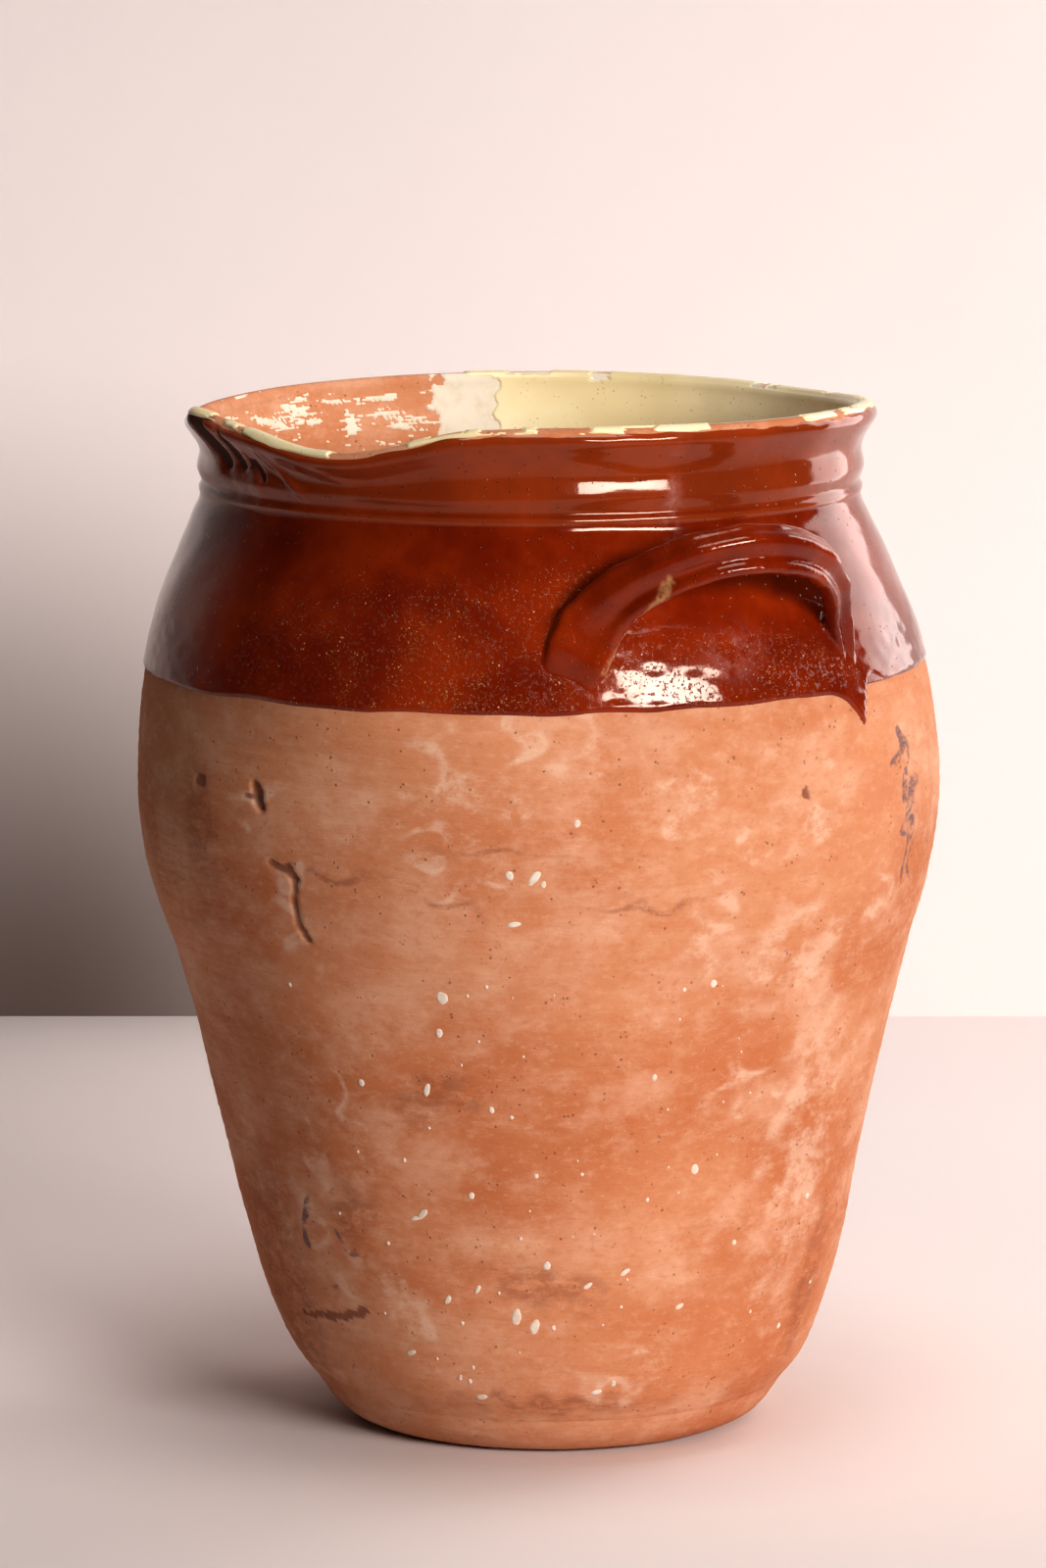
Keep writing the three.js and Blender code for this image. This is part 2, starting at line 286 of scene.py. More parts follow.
def clay_relief(angle, place):
    """How far the clay stands out from the outline, in mm."""
    height = np.interp(place, path, path_height)
    outer = place < rim_place
    slow = 0.55 * waves(11, angle, height, 150) + 0.3 * waves(12, angle, height, 60, 2.5)
    lines = 0.055 * waves(13, angle, height, 7, 14) + 0.05 * waves(14, angle, height, 2.6, 30)
    rings = 0.35 * np.sin(height / 2.1 + 0.6 * np.sin(angle + 1.0)) * ~outer
    near_joint = height - joint_height - 3.5 * np.sin(angle + 0.2)
    strength = blot(angle, height * 0, (24, 0), (44, 9))
    strength = np.maximum(strength, 0.8 * blot(angle, height * 0, (175, 0), (60, 9)))
    groove = -0.5 * np.exp(-((near_joint / 0.7) ** 2)) * strength
    groove += -0.5 * np.exp(-((near_joint / 7) ** 2))
    broken = ramp(waves(16, angle, height * 0, 60), -0.7, 0.7)
    seam = -0.35 * np.exp(-(((height - seam_height) / 0.9) ** 2)) * broken
    relief = slow * ramp(height, 4, 40) + lines + rings + (groove + seam) * outer
    for at, size, tilt, depth in DENTS:
        relief = relief - depth * blot(angle, height, at, size, tilt) ** 2 * outer
    for line, half_width, depth in SCARS:
        relief = relief - depth * scar(angle, height, line, half_width) * outer
    calm = 1 - 0.85 * ramp(height, ledge_height - 10, ledge_height + 4)
    glazed = ramp(height, GLAZE_LINE - 4, GLAZE_LINE + 4) * outer
    relief = (relief - lines * glazed) * calm
    for at, size, tilt, swell in FOLDS:
        relief = relief + swell * blot(angle, height, at, size, tilt) * outer
    return relief


def surface(angle, place, offset=0.0):
    """Points on the clay, or above it by an offset in mm, at angles and places along the outline."""
    radius = np.interp(place, path, path_radius)
    height = np.interp(place, path, path_height)
    out = clay_relief(angle, place) + offset
    radius = radius + np.interp(place, path, normal_radius) * out
    height = height + np.interp(place, path, normal_height) * out
    height = np.where(place < outside_at(8), np.maximum(height, 0), height)
    return bend(radius, angle, height)


print("one point of the belly:", np.round(surface(np.array([0.0]), outside_at(249.0)), 4))

# %% [markdown]
# ## From points to a mesh
# A ring of points at every place along the outline gives a net that can be skinned with four-sided
# faces. Writing the arrays straight into the mesh is far quicker than adding faces one by one.

# %% Skin a net of points
def net_faces(rows, columns, close_rows, close_columns):
    """The corners of each face of a net, in order."""
    down = np.arange(rows if close_rows else rows - 1)
    across = np.arange(columns if close_columns else columns - 1)
    row, column = np.meshgrid(down, across, indexing="ij")
    below, beside = (row + 1) % rows, (column + 1) % columns
    corners = [row * columns + column, row * columns + beside]
    corners += [below * columns + beside, below * columns + column]
    return np.stack(corners, axis=-1).reshape(-1, 4)


def write_mesh(name, points, faces, marks=None):
    """Makes an object from points and faces; marks is a colour for each point, kept for finishes."""
    mesh = bpy.data.meshes.new(name)
    mesh.vertices.add(len(points))
    mesh.vertices.foreach_set("co", np.ascontiguousarray(points, np.float32).ravel())
    mesh.loops.add(faces.size)
    mesh.loops.foreach_set("vertex_index", np.ascontiguousarray(faces, np.int32).ravel())
    mesh.polygons.add(len(faces))
    mesh.polygons.foreach_set("loop_start", np.arange(0, faces.size, faces.shape[1], dtype=np.int32))
    mesh.update(calc_edges=True)
    mesh.validate()
    mesh.shade_smooth()
    if marks is not None:
        layer = mesh.attributes.new("marks", "FLOAT_COLOR", "POINT")
        layer.data.foreach_set("color", np.ascontiguousarray(marks, np.float32).ravel())
    thing = bpy.data.objects.new(name, mesh)
    bpy.context.scene.collection.objects.link(thing)
    return thing


def edited(thing, edit_faces):
    """Lets a function edit the mesh's faces, then points them all outward."""
    edit = bmesh.new()
    edit.from_mesh(thing.data)
    edit_faces(edit)
    bmesh.ops.recalc_face_normals(edit, faces=edit.faces)
    edit.to_mesh(thing.data)
    edit.free()
    return thing


def open_edges(edit):
    """The edges at which a mesh is open."""
    return [edge for edge in edit.edges if edge.is_boundary]


def drop_faces(points, faces, keep, marks):
    """Leaves out faces that touch no kept point, and the points that nothing uses."""
    faces = faces[keep[faces].any(axis=1)]
    used = np.unique(faces)
    number = np.zeros(len(points), int)
    number[used] = np.arange(len(used))
    return points[used], number[faces], None if marks is None else marks[used]


COLUMNS = 720
turn_angles = np.arange(COLUMNS) * 2 * math.pi / COLUMNS
print("each ring has", COLUMNS, "points,", round(2 * math.pi * belly_radius / COLUMNS, 2), "mm apart")

# %% [markdown]
# ## Marks of age on the clay
# Bare earthenware keeps a record of its life: pale washes of lime, brown wheel streaks, purple
# stains. Where each one lies is painted here as a soft mask on the points of the mesh; its grain
# and its edge come later, in the finish, so that a mark never looks like a smooth airbrushed spot.

# %% Paint the masks
PALE = [
    ((-42, 276), (8, 14), 25), ((-32, 286), (5, 18), -22), ((-22, 288), (8, 16), -28),
    ((-9, 268), (9, 12), 30), ((1, 250), (6, 16), -55), ((13, 252), (16, 4), 35),
    ((-4, 212), (9, 16), -30), ((-64, 140), (3, 26), 4), ((-38, 262), (16, 5), 12),
    ((29, 225), (6, 16), 10), ((-44, 252), (20, 4), 14), ((-42, 236), (14, 3), 4),
    ((4, 150), (16, 3), 8), ((-66, 76), (15, 15), 0), ((-78, 92), (13, 9), -30),
    ((-68, 236), (9, 6), 0), ((-67, 215), (6, 13), 8), ((-75, 262), (5, 6), 0),
    ((22, 120), (22, 60), 4), ((10, 200), (24, 20), 0), ((-16, 34), (22, 5), 4),
    ((120, 240), (22, 12), 10), ((170, 180), (26, 7), -8), ((-130, 120), (18, 14), 0),
    ((95, 110), (12, 24), 12), ((-150, 250), (10, 18), 30), ((60, 255), (10, 14), -20),
    ((-74, 122), (6, 20), 0), ((-58, 60), (12, 10), 20),
]
BROWN = [
    ((-58, 236), (22, 2.2), 3), ((-44, 228), (20, 1.8), -8), ((-36, 247), (30, 1.8), 2),
    ((-13, 226), (34, 2.0), 3), ((-67, 100), (18, 12), 20), ((-31, 24), (60, 6), 0),
    ((34, 60), (14, 34), 0), ((-95, 60), (40, 60), 0), ((150, 150), (12, 5), 20),
    ((-160, 90), (4, 4), 0), ((110, 195), (40, 3), 2), ((-170, 225), (50, 3), -2),
    ((-48, 150), (26, 12), 25), ((-30, 75), (40, 10), -8), ((-86, 250), (12, 30), 0),
]
PURPLE = [
    ((31.0, 270), (2.0, 6), -20), ((33.4, 275.5), (6, 2.0), 20), ((35.8, 273), (2.2, 5), 12),
    ((34.6, 262), (3.2, 5), 0), ((36.8, 253), (3.4, 9), -12), ((35.2, 236), (1.8, 11), 6),
    ((38.6, 233), (1.6, 13), -4), ((-80, 92), (3, 11), -25), ((-70, 84), (9, 2.2), -35),
    ((-76, 66), (9, 2), 14),
    ((175, 110), (14, 9), 30), ((100, 262), (9, 4), 20),
]
LIP_CHIPS = [
    ([(-96, 399), (-94.4, 391.5)], 5.6), ([(-94.4, 391.5), (-92, 384)], 3.4),
    ([(-89, 392), (-87.4, 384)], 2.8), ([(-84.6, 388.5), (-84, 385)], 1.2),
    ([(-83, 386.5), (-81.4, 380)], 1.7),
]


def clay_marks(angle, height, outer=1.0):
    """Pale, brown, purple and scar masks for points on the clay; outer is 0 on its inside."""
    drift = 5.0 * waves(21, angle, height, 22)
    wander = 5.0 * waves(22, angle, height, 22) / SPOT_RADIUS
    masks = []
    for spots, reach in ((PALE, 1.0), (BROWN, 0.35), (PURPLE, 0.6)):
        mask = np.zeros(np.broadcast(angle, height).shape)
        for at, size, tilt in spots:
            near = blot(angle + wander * reach, height + drift * reach, at, size, tilt)
            mask = np.maximum(mask, near)
        masks.append(mask)
    scarred = np.zeros_like(masks[0])
    for line, half_width, _ in SCARS:
        scarred = np.maximum(scarred, 0.6 * scar(angle, height, line, half_width))
    for line, half_width in LIP_CHIPS:
        scarred = np.maximum(scarred, scar(angle, height, line, half_width * 1.8))
    return np.stack([*masks, scarred * outer], axis=-1)


print("painted", len(PALE), "pale,", len(BROWN), "brown and", len(PURPLE), "purple marks")

# %% [markdown]
# ## The clay pieces
# Each thrown section is a closed ring: up its outside, across its top, down its inside. The rows
# are close together where the clay shows and further apart where a coat covers it.

# %% Build a closed clay section
OUTER_STEP = 1.5
FINE_STEP = 1.0
COVERED_STEP = 3.0
INNER_STEP = 5.0
CRISP = 0.12


def places_between(start, end, step):
    """Evenly spaced places along the outline, ends included."""
    return np.linspace(start, end, max(2, int(round(abs(end - start) / step)) + 1))


def with_crisp_ends(places):
    """The same places with one more just inside each end, so that the corner shades crisply."""
    first, last = places[0], places[-1]
    return np.concatenate([[first, first + CRISP], places[1:-1], [last - CRISP, last]])


def clay_ring(name, places):
    """A closed ring of clay through the given places along the outline."""
    place, angle = np.meshgrid(places, turn_angles, indexing="ij")
    points = surface(angle, place).reshape(-1, 3)
    height = np.interp(place, path, path_height)
    marks = clay_marks(angle, height, place < rim_place).reshape(-1, 4)
    faces = net_faces(len(places), COLUMNS, True, True)
    return write_mesh(name, points, faces[:, ::-1], marks)


def section(name, outside, high, inner_low):
    """A wall section: its given outside places, and its inside between two heights."""
    inside = places_between(inside_at(high), inside_at(inner_low), INNER_STEP)
    return clay_ring(name, np.concatenate([with_crisp_ends(outside), inside]))


lower_outside = places_between(outside_at(seam_height), outside_at(joint_height), OUTER_STEP)
lower_wall = section("lower_wall_clay", lower_outside, joint_height - 0.2, 30)
bare_outside = places_between(outside_at(joint_height), outside_at(GLAZE_LINE + 4), FINE_STEP)
hidden_outside = places_between(outside_at(GLAZE_LINE + 4), outside_at(ledge_height - 0.4), COVERED_STEP)
upper_outside = np.concatenate([bare_outside, hidden_outside[1:]])
upper_wall = section("upper_wall_clay", upper_outside, ledge_height - 0.4, joint_height + 1)
collar_outside = places_between(outside_at(ledge_height), rim_place, 0.9)
collar_inside = places_between(rim_place + 0.9, inside_at(ledge_height), 0.9)
neck_collar = clay_ring("neck_collar_clay", np.concatenate([collar_outside, collar_inside]))
for thing in (lower_wall, upper_wall, neck_collar):
    print(thing.name, len(thing.data.polygons), "faces")

# %% [markdown]
# ## The foot disc
# The bottom was thrown as a flat disc and cut from the wheel with a wire. Underneath, the wire
# leaves shallow curved drag lines. The disc is a net from its middle out, round the edge and back.

# %% Build the foot disc
DISC_STEPS = 26
DISC_CENTRE = 0.6
FOOT_RADIUS = 69
FLOOR_RADIUS = 91
WIRE_DEPTH = 0.25
WIRE_PITCH = 1.3
WIRE_BOW = 0.004


def foot_disc():
    """The closed disc, with wire marks on its underside and the floor of the pot on top."""
    edge = places_between(0, outside_at(seam_height), 1.2)
    edge = np.insert(edge, -1, edge[-1] - CRISP)
    under_radius = np.linspace(DISC_CENTRE, FOOT_RADIUS, DISC_STEPS)
    top_radius = np.linspace(FLOOR_RADIUS, DISC_CENTRE, DISC_STEPS)
    angle = turn_angles[None, :]
    under = np.zeros((DISC_STEPS, COLUMNS, 3))
    across = under_radius[:, None] * np.cos(angle)
    along = under_radius[:, None] * np.sin(angle)
    inside = 1 - ramp(under_radius, FOOT_RADIUS - 9, FOOT_RADIUS - 1)[:, None]
    drag = np.sin((along + WIRE_BOW * across**2) / WIRE_PITCH) * 0.5 + 0.5
    shift = LEAN * LEAN_PIVOT
    under[..., 0] = across + shift * view_right[0]
    under[..., 1] = along + shift * view_right[1]
    under[..., 2] = WIRE_DEPTH * drag * inside
    place, around_edge = np.meshgrid(edge, turn_angles, indexing="ij")
    side = surface(around_edge, place)
    top = bend(top_radius[:, None], angle, np.full((DISC_STEPS, 1), seam_height))
    points = np.concatenate([under * MM, side, top]).reshape(-1, 3)
    rows = 2 * DISC_STEPS + len(edge)
    faces = net_faces(rows, COLUMNS, True, True)
    height = points[:, 2] / MM
    marks = clay_marks(np.tile(turn_angles, rows), height)
    return write_mesh("foot_disc_clay", points, faces[:, ::-1], marks)


base_disc = foot_disc()
print("the foot disc has", len(base_disc.data.polygons), "faces")

# %% [markdown]
# ## A coat that can flake
# A glaze or slip coat is a thin skin. To let it flake, chip and run, its thickness is a function
# of place: full where the coat is whole and below zero where it is gone. Where the thickness
# passes through zero the skin dives into the clay, which draws a crisp irregular edge by itself,
# and the faces that lie wholly under the clay are then left out.

# %% Build a coat
HIDDEN = -0.25


def coat(name, places, angles, thickness, marks=None):
    """A skin above the clay, where thickness(angle, place, height) is above zero."""
    place, angle = np.meshgrid(places, angles, indexing="ij")
    height = np.interp(place, path, path_height)
    depth = np.maximum(thickness(angle, place, height), HIDDEN)
    points = surface(angle, place, depth).reshape(-1, 3)
    colours = None if marks is None else marks(angle, height).reshape(-1, 4)
    faces = net_faces(len(places), len(angles), False, True)
    keep = depth.ravel() > HIDDEN + 1e-4
    points, faces, colours = drop_faces(points, faces, keep, colours)
    return write_mesh(name, points, faces[:, ::-1], colours)


# %% [markdown]
# ## The red-brown coat
# The pot was dipped upside down into the glaze, so the glaze ends in one nearly level line and a
# run hangs from it where the handle held more. A dipped edge is thick and rounded. The thickness
# also swells a little, which is what makes reflections swim on real glaze.

# %% Lay the outer glaze
DRIP_ANGLE = math.radians(24)
DRIP_TIP = 286.5
DRIP_RADIUS = 150
GOLD = [(1.0, (2, 312), (48, 14)), (0.8, (-24, 330), (26, 22)), (0.7, (150, 320), (90, 24))]


def glaze_edge(angle):
    """The height of the glaze line round the pot."""
    level = GLAZE_LINE + 1.6 * np.sin(angle + 0.2) + 0.35 * waves(31, angle, angle * 0, 40)
    beside = around(angle, DRIP_ANGLE) * DRIP_RADIUS
    reach = GLAZE_LINE - DRIP_TIP
    width = np.where(beside < 0, 9.0, 3.6)
    run = reach * np.exp(-np.abs(beside / width) ** 1.25)
    lift = 4.5 * np.exp(-(((beside - 9) / 8) ** 2))
    return level - run + lift * (1 - np.exp(-np.abs(beside / 3) ** 2))


def outer_glaze_depth(angle, place, height):
    """Thickness of the red-brown coat, with its rolled edge and its top under the rim."""
    up = height - glaze_edge(angle)
    body = 0.75 + 0.14 * waves(32, angle, height, 34, 1.6) + 0.03 * waves(33, angle, height, 12, 2)
    body = body + 0.045 * waves(35, angle, height, 8, 1.5) * (1 - ramp(height, 310, 334))
    bead = 0.18 * np.exp(-(((up - 1.6) / 1.5) ** 2))
    edge = -0.3 + ramp(up, -0.9, 1.2) * (body + bead + 0.3)
    for line, half_width in LIP_CHIPS:
        edge = edge - 1.4 * scar(angle, height, line, half_width)
    top = rim_height - 2.9 + 0.4 * waves(34, angle, height * 0, 22)
    past_top = (place - outside_at(top)) / 1.4
    return np.where(place > rim_place, HIDDEN, edge - ramp(past_top, -0.5, 1.4) * 1.3)


def outer_glaze_marks(angle, height):
    """Where the glaze holds gold specks, where it is thin, and where lime haze lies on it."""
    gold = blot(angle, height, (-48, 318), (70, 30))
    for strength, at, size in GOLD:
        gold = np.maximum(gold, strength * blot(angle, height, at, size))
    thin = np.exp(-(((height - ledge_height) / 1.1) ** 2)) * 0.4
    thin = np.maximum(thin, ramp(height, rim_height - 5, rim_height - 3) * 0.4)
    thin = np.maximum(thin, ramp(height, ledge_height, ledge_height + 4) * 0.3)
    haze = blot(angle, height, (0, 318), (9, 7), 20)
    haze = np.maximum(haze, blot(angle, height, (-6, 375), (4, 18), -6))
    haze = np.maximum(haze, blot(angle, height, (-88, 384), (15, 16)))
    return np.stack([gold, thin, haze, np.zeros_like(gold)], axis=-1)


glaze_places = places_between(outside_at(DRIP_TIP - 3), rim_place, 0.9)
red_coat = coat("red_brown_glaze", glaze_places, turn_angles, outer_glaze_depth, outer_glaze_marks)
print("the outer glaze has", len(red_coat.data.polygons), "faces")

# %% [markdown]
# ## White slip under cream glaze
# Inside, a white slip was brushed on first and a cream glaze over it. Behind the lip both have
# flaked away: the glaze is gone over a wide part, a band of bare slip shows beside its edge, and
# only brushed streaks and spots of slip cling to the clay. Thickness functions draw all of that.

# %% Lay the slip
FLAKE_MIDDLE = math.radians(-119)
FLAKE_HALF = math.radians(75)
FLAKE_FLOOR = 318.0
FLAKE_RADIUS = 124
FLAKE_SEED = 41
SPARSE_BELOW = FLAKE_FLOOR - 26
FINE_COLUMNS = 1080
fine_angles = np.arange(FINE_COLUMNS) * 2 * math.pi / FINE_COLUMNS


def flaked(angle, height, margin, seed):
    """Above zero in the flaked part; margin in mm grows it. The edge wanders like a real flake."""
    side = (FLAKE_HALF - np.abs(around(angle, FLAKE_MIDDLE))) * FLAKE_RADIUS
    floor = height - FLAKE_FLOOR
    inward = np.minimum(side, floor) + margin
    wander = 2.4 * waves(seed, angle, height, 26) + 1.1 * waves(seed + 1, angle, height, 8)
    return inward + wander + 0.5 * waves(seed + 2, angle, height, 3)


SLIP_MARGIN = -4
SLIP_THICKNESS = 0.42
SLIP_SPOTS = [
    ((-161, 389), (13, 3.6), 8), ((-152, 387), (9, 3.0), 24), ((-172, 391.5), (8, 1.2), 6),
    ((-144, 383), (8, 2.4), 30), ((-137, 380), (6, 1.6), 26), ((-174.5, 380), (4.8, 4.2), 0),
    ((-174, 387), (2, 1.4), 0), ((-157, 384), (7, 1.2), 12), ((-182, 385), (9, 1.4), 10),
    ((172, 383), (9, 1.8), 14), ((174, 379), (9, 1.8), 8), ((177, 391), (7, 1.2), 0),
    ((168, 393), (10, 1.0), 4), ((-165, 384), (3, 1.0), 0), ((-182, 367), (6, 1.0), 0),
    ((-160, 371), (3, 3), 0), ((-170, 374), (5, 0.9), 10), ((-128, 384), (5, 1.6), 20),
    ((-95, 352), (12, 4), 15),
]


def slip_depth(angle, place, height):
    """Thickness of the slip: whole outside the flaked part, streaks and spots within it."""
    bare = flaked(angle, height, SLIP_MARGIN, FLAKE_SEED)
    whole = SLIP_THICKNESS - ramp(bare, -0.4, 0.6) * 0.9
    streaks = 1.2 * waves(45, angle, height, 7, 9) + 0.9 * waves(46, angle, height, 2.4, 9)
    specks = waves(47, angle, height, 1.7, 2)
    clinging = streaks + 0.6 * specks - 2.9
    for at, size, tilt in SLIP_SPOTS:
        clinging = clinging + 4.2 * blot(angle, height, at, size, tilt) ** 0.7
    left = -0.25 + 0.6 * ramp(clinging, -0.12, 0.3)
    depth = np.where(bare > 0, np.maximum(left, whole), whole)
    return np.where(place < rim_place + 1.5, HIDDEN, depth)


slip_top = places_between(rim_place, inside_at(SPARSE_BELOW), 0.75)
slip_low = places_between(inside_at(SPARSE_BELOW), floor_place + 40, 5)
slip_places = np.concatenate([slip_top, slip_low[1:]])
slip_coat = coat("white_slip", slip_places, fine_angles, slip_depth)
print("the slip has", len(slip_coat.data.polygons), "faces")

# %% Lay the cream glaze over the slip and the rim
RIM_CHIPS = [
    (-153, 104, 1.4, 0.4), (-57.0, 16.0, 1.0, 0.4), (-43.5, 7.0, 0.5, 1.6), (-34.5, 8.0, 0.6, 0.8),
    (-24.5, 10.0, 0.75, 0.4), (-12, 6.0, 0.3, -1.6), (11, 24.0, 0.8, 0.2), (33, 4.0, 0.6, -0.4),
    (-90, 3.6, 0.6, 0.6), (-84.5, 2.4, 0.6, 0.6), (40, 3.0, 0.3, 1.2), (150, 9.0, 0.5, 0.4),
    (137, 3.5, 0.6, 2.6), (104, 3.0, 0.5, 1.4), (101, 1.6, 0.4, 1.4), (62, 5.0, 0.5, 0.4),
    (84, 3.0, 0.5, 0.4),
]
CREAM_MARGIN = 19
RIM_RADIUS = 131


def cream_depth(angle, place, height):
    """Thickness of the cream glaze: over the rim, down the inside, gone where it has flaked."""
    over = place - rim_place
    body = 1.0 + 0.1 * waves(51, angle, height, 30)
    gone = flaked(angle, height, CREAM_MARGIN, FLAKE_SEED)
    inside = 0.3 + body * 0.75 - ramp(gone, -0.5, 0.5) * 1.6
    rim_skin = body * 0.62
    depth = np.where(over > 3.2, inside, rim_skin)
    start = over + 3.4 + 0.3 * waves(52, angle, angle * 0, 26)
    start = start + 1.6 * blot(angle, height * 0, (-76, 0), (16, 9))
    depth = depth - (1 - ramp(start, -0.5, 0.5)) * 1.4
    ragged = 0.5 * waves(53, angle, over * 6, 9) + 0.3 * waves(54, angle, over * 6, 3.5)
    for middle, half, cut, inward in RIM_CHIPS:
        along = half - np.abs(around(angle, math.radians(middle))) * RIM_RADIUS
        across = 3.6 * cut + 0.6 - np.abs(over + 0.8 - inward)
        chip = np.minimum(along, across * 2.2) + ragged
        depth = depth - ramp(chip, -0.4, 0.4) * 1.4 * (over < 7)
    return depth


cream_rim = places_between(outside_at(rim_height - 4.6), rim_place + 6, 0.5)
cream_top = places_between(rim_place + 6, inside_at(SPARSE_BELOW), 0.9)
cream_low = places_between(inside_at(SPARSE_BELOW), path_length - 3, 3)
cream_places = np.concatenate([cream_rim, cream_top[1:], cream_low[1:]])
cream_coat = coat("cream_glaze", cream_places, fine_angles, cream_depth)
print("the cream glaze has", len(cream_coat.data.polygons), "faces")

# %% [markdown]
# ## The strap handles
# Each handle was pulled as a long strap with ridges from the fingers, bent into a bow and pressed
# on: a broad thumb pad at one end and a narrow foot at the other. Sweeping an outline along a
# curve gives the strap, but the joins need soft fillets. Joining the strap to a thin patch of wall
# with a fine voxel remesh, and then relaxing it, fills the corners as wet clay does.

# %% Sweep the strap
ROUTE = [
    (-25.2, 311, -3), (-23.8, 320, 0.6), (-21.6, 331, 4.5), (-17.6, 343.5, 15), (-11.5, 354, 29),
    (-4.5, 360.5, 39), (3, 360.5, 40), (10, 354.5, 33), (16, 343.5, 20), (20.3, 330, 6.5),
    (22.4, 318, 0.5), (23.6, 308, -3),
]
WIDTHS = [20, 24, 24, 21, 20, 20, 20, 19, 17, 14.5, 11.5, 8]
THICKNESSES = [5, 8, 9.5, 11, 11.5, 11.5, 11.5, 11, 10.5, 9.5, 8, 5]
RIDGED = [
    (0.5, -0.2), (0.44, 0.1), (0.3, 0.28), (0.12, 0.56), (-0.05, 0.46), (-0.2, 0.16),
    (-0.34, 0.28), (-0.46, 0.26), (-0.5, 0.0), (-0.4, -0.36), (0, -0.5), (0.38, -0.44),
]
FLAT = [
    (0.5, 0.0), (0.47, 0.34), (0.32, 0.42), (0.14, 0.4), (-0.04, 0.37), (-0.2, 0.38),
    (-0.36, 0.42), (-0.47, 0.36), (-0.5, 0.0), (-0.4, -0.36), (0, -0.5), (0.38, -0.38),
]
STRAP_STEPS = 130
SECTION_POINTS = 64


def closed_curve(points, count):
    """A smooth closed curve through a few points."""
    ring = np.array(points[-2:] + points + points[:3], float)
    steps = np.arange(len(ring), dtype=float) - 2
    wanted = np.linspace(0, len(points), count, endpoint=False)
    return np.stack([through(steps, ring[:, axis], wanted) for axis in (0, 1)], axis=-1)


def strap_frame(turn):
    """Centre points, the direction across the strap and the direction out, along the route."""
    knots = np.arange(len(ROUTE), dtype=float)
    wanted = np.linspace(0, len(ROUTE) - 1, STRAP_STEPS)
    degrees, height, proud = (through(knots, np.array(c, float), wanted) for c in zip(*ROUTE))
    angle = np.radians(degrees) + turn
    wall = np.interp(outside_at(height), path, path_radius)
    centre = bend(wall + proud, angle, height)
    tangent = np.gradient(centre, axis=0)
    tangent /= np.linalg.norm(tangent, axis=1, keepdims=True)
    radial = np.stack([np.cos(angle), np.sin(angle), 0.35 * np.ones_like(angle)], axis=-1)
    level = np.cross(radial, tangent)
    across = level / np.linalg.norm(level, axis=1, keepdims=True)
    outward = np.cross(tangent, across)
    return wanted, centre, across, outward


def strap(name, turn, seed):
    """The strap itself, closed at both ends."""
    wanted, centre, across, outward = strap_frame(turn)
    knots = np.arange(len(ROUTE), dtype=float)
    width = through(knots, np.array(WIDTHS, float), wanted)
    thickness = through(knots, np.array(THICKNESSES, float), wanted)
    ridged = ramp(wanted, 1.6, 4.2)[:, None, None]
    shape = closed_curve(FLAT, SECTION_POINTS) * (1 - ridged)
    shape = shape + closed_curve(RIDGED, SECTION_POINTS) * ridged
    side = shape[:, :, :1] * width[:, None, None] * across[:, None, :]
    out = shape[:, :, 1:] * thickness[:, None, None] * outward[:, None, :]
    lumps = 1 + 0.02 * waves(seed, np.linspace(0, 6, STRAP_STEPS)[:, None],
                             np.linspace(0, 40, SECTION_POINTS)[None, :], 60)
    points = centre[:, None, :] + (side + out) * lumps[..., None] * MM
    faces = net_faces(STRAP_STEPS, SECTION_POINTS, False, True)
    thing = write_mesh(name, points.reshape(-1, 3), faces)
    return edited(thing, lambda edit: bmesh.ops.holes_fill(edit, edges=open_edges(edit)))


def wall_patch(name, from_degrees, to_degrees, low, high):
    """A thin closed patch of wall just under the glaze, for the handle's end to melt into."""
    angles = np.radians(np.linspace(from_degrees, to_degrees, 50))
    places = places_between(outside_at(low), outside_at(high), 1.2)
    place, angle = np.meshgrid(places, angles, indexing="ij")
    outer = surface(angle, place, 0.45).reshape(-1, 3)
    inner = surface(angle, place, -5.0).reshape(-1, 3)
    faces = net_faces(len(places), len(angles), False, False)
    thing = write_mesh(name, np.concatenate([outer, inner]),
                       np.concatenate([faces, faces[:, ::-1] + len(outer)]))
    return edited(thing, lambda edit: bmesh.ops.bridge_loops(edit, edges=open_edges(edit)))


# %% Melt the strap into the wall
VOXEL = 0.001
RELAX_ROUNDS = 5


def joined(name, things):
    """One object holding the meshes of several."""
    edit = bmesh.new()
    for thing in things:
        edit.from_mesh(thing.data)
        bpy.data.objects.remove(thing)
    mesh = bpy.data.meshes.new(name)
    edit.to_mesh(mesh)
    edit.free()
    whole = bpy.data.objects.new(name, mesh)
    bpy.context.scene.collection.objects.link(whole)
    return whole


def applied(thing):
    """Makes an object's modifiers permanent."""
    seen = thing.evaluated_get(bpy.context.evaluated_depsgraph_get())
    mesh = bpy.data.meshes.new_from_object(seen)
    thing.modifiers.clear()
    thing.data = mesh
    mesh.shade_smooth()
    return thing


def handle(name, turn, seed):
    """A strap with both ends melted into the wall."""
    degrees = math.degrees(turn)
    front = wall_patch("front_patch", degrees - 37, degrees - 9, 301, 360)
    rear = wall_patch("rear_patch", degrees + 13, degrees + 34, 301, 350)
    whole = joined(name, [strap("strap", turn, seed), front, rear])
    remesh = whole.modifiers.new("join", "REMESH")
    remesh.mode = "VOXEL"
    remesh.voxel_size = VOXEL
    relax = whole.modifiers.new("relax", "SMOOTH")
    relax.factor = 0.5
    relax.iterations = RELAX_ROUNDS
    return applied(whole)


